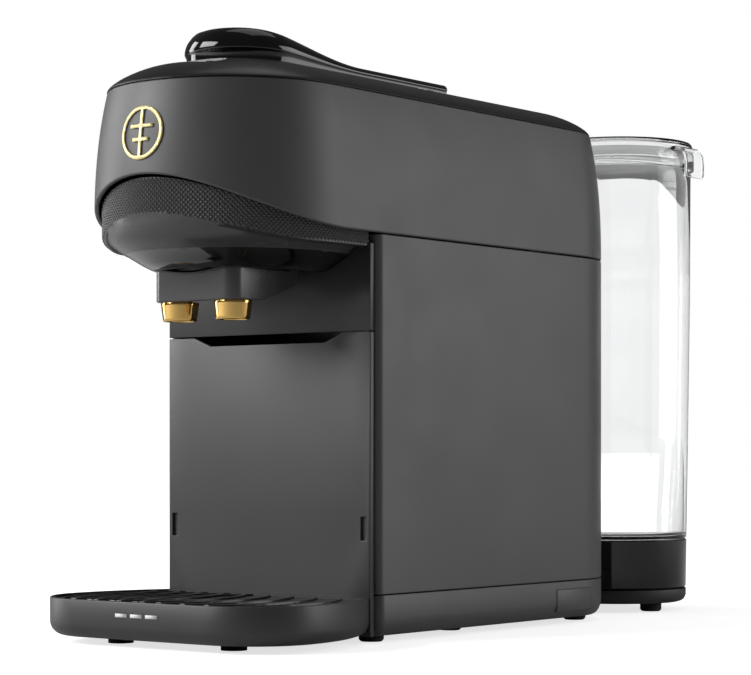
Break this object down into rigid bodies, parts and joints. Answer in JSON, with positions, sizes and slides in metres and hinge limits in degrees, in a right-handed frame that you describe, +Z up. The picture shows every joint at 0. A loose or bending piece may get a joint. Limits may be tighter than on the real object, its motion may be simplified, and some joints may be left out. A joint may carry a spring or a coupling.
{
  "type": "pod coffee machine",
  "caption": "Narrow pod coffee machine with an overhanging brew head, top lever, pull-out capsule bin with drip tray, and a clear rear water tank.",
  "frame": {"origin": "centre of the bounding box's base, on the floor", "axes": "+Z up, front towards -Y, left and right mirrored in X"},
  "size_m": [0.149, 0.4072, 0.2795],
  "materials": {
    "body_satin": "satin dark grey moulded plastic",
    "panel_satin": "satin dark grey moulded plastic",
    "cap_black": "fine-grained black plastic",
    "gloss_black": "polished black plastic",
    "inner_plastic": "plain moulded plastic",
    "spout_grey": "half-gloss grey plastic",
    "nozzle_brass": "brushed brass",
    "emblem_gold": "printed gold",
    "mark_white": "printed light grey",
    "steel": "bright steel",
    "cast_metal": "cast",
    "board_green": "solder mask",
    "foot_rubber": "soft rubber",
    "seal_rubber": "silicone",
    "hose": "milky silicone",
    "white_plastic": "plain moulded plastic",
    "button_plastic": "satin plastic",
    "tank_clear": "clear moulded plastic"
  },
  "bodies": {
    "machine": {"base_chassis": "inner_plastic", "base_hatch": "inner_plastic", "body_shell": "body_satin", "cord_gland": "foot_rubber", "upper_panel": "panel_satin", "inner_frame": "inner_plastic", "upper_housing": "body_satin", "top_cap": "cap_black", "knurled_band": "panel_satin", "head_underside": "gloss_black", "spout_block": "spout_grey", "nozzle_left": "nozzle_brass", "nozzle_right": "nozzle_brass", "head_emblem": "emblem_gold", "coffee_duct": "inner_plastic", "brew_head": "inner_plastic", "piercing_plate": "steel", "brew_seal": "seal_rubber", "hinge_pin": "steel", "button_panel": "gloss_black", "button_board": "board_green", "control_board": "board_green", "water_pump": "cast_metal", "pump_mounts": "foot_rubber", "heater_block": "cast_metal", "flow_meter": "white_plastic", "hose_tank": "hose", "hose_meter": "hose", "hose_pump": "hose", "hose_brew": "hose", "tank_holder": "inner_plastic", "tank_socket": "inner_plastic", "socket_seal": "seal_rubber", "holder_feet": "foot_rubber", "base_feet": "foot_rubber", "chassis_screws": "steel", "boot_left": "foot_rubber", "boot_middle": "foot_rubber", "boot_right": "foot_rubber"},
    "bin": {"bin_front": "panel_satin", "capsule_bin": "inner_plastic"},
    "tray": {"drip_tray": "panel_satin", "tray_mark": "mark_white", "tray_feet": "foot_rubber"},
    "grid": {"drip_grid": "cap_black"},
    "lever_arm": {"lever": "gloss_black", "lever_crank": "cast_metal"},
    "carriage": {"capsule_cup": "inner_plastic"},
    "key_left": {"button_left": "button_plastic"},
    "key_middle": {"button_middle": "button_plastic"},
    "key_right": {"button_right": "button_plastic"},
    "tank": {"tank_vessel": "tank_clear", "tank_skirt": "gloss_black", "valve_spring": "steel"},
    "lid": {"tank_lid": "tank_clear"},
    "valve": {"valve_poppet": "white_plastic", "valve_ring": "seal_rubber"}
  },
  "joints": [
    {"name": "lever_hinge", "type": "hinge", "parent": "machine", "child": "lever_arm", "pos_m": [0, -0.0185, 0.257], "axis": [-1, 0, 0], "range_deg": [0, 75]},
    {"name": "carriage_slide", "type": "slide", "parent": "machine", "child": "carriage", "axis": [0, -1, 0], "range_m": [0, 0.0293]},
    {"name": "bin_slide", "type": "slide", "parent": "machine", "child": "bin", "axis": [0, -1, 0], "range_m": [0, 0.12]},
    {"name": "tray_slide", "type": "slide", "parent": "bin", "child": "tray", "axis": [0, -1, 0], "range_m": [0, 0.045]},
    {"name": "grid_lift", "type": "slide", "parent": "tray", "child": "grid", "axis": [0, 0, 1], "range_m": [0, 0.03]},
    {"name": "key_left_press", "type": "slide", "parent": "machine", "child": "key_left", "axis": [0, 0, -1], "range_m": [0, 0.0015], "stiffness_N_per_m": 300, "springref_m": -0.001, "deforming": ["boot_left"]},
    {"name": "key_middle_press", "type": "slide", "parent": "machine", "child": "key_middle", "axis": [0, 0, -1], "range_m": [0, 0.0015], "stiffness_N_per_m": 300, "springref_m": -0.001, "deforming": ["boot_middle"]},
    {"name": "key_right_press", "type": "slide", "parent": "machine", "child": "key_right", "axis": [0, 0, -1], "range_m": [0, 0.0015], "stiffness_N_per_m": 300, "springref_m": -0.001, "deforming": ["boot_right"]},
    {"name": "tank_lift", "type": "slide", "parent": "machine", "child": "tank", "axis": [0, 0, 1], "range_m": [0, 0.12]},
    {"name": "lid_lift", "type": "slide", "parent": "tank", "child": "lid", "axis": [0, 0, 1], "range_m": [0, 0.04]},
    {"name": "valve_lift", "type": "slide", "parent": "tank", "child": "valve", "axis": [0, 0, 1], "range_m": [0, 0.002], "stiffness_N_per_m": 150, "springref_m": -0.003, "deforming": ["valve_spring"]}
  ],
  "couplings": [
    {"joint": "carriage_slide", "follows": "lever_hinge", "m_per_rad": 0.022323}
  ]
}
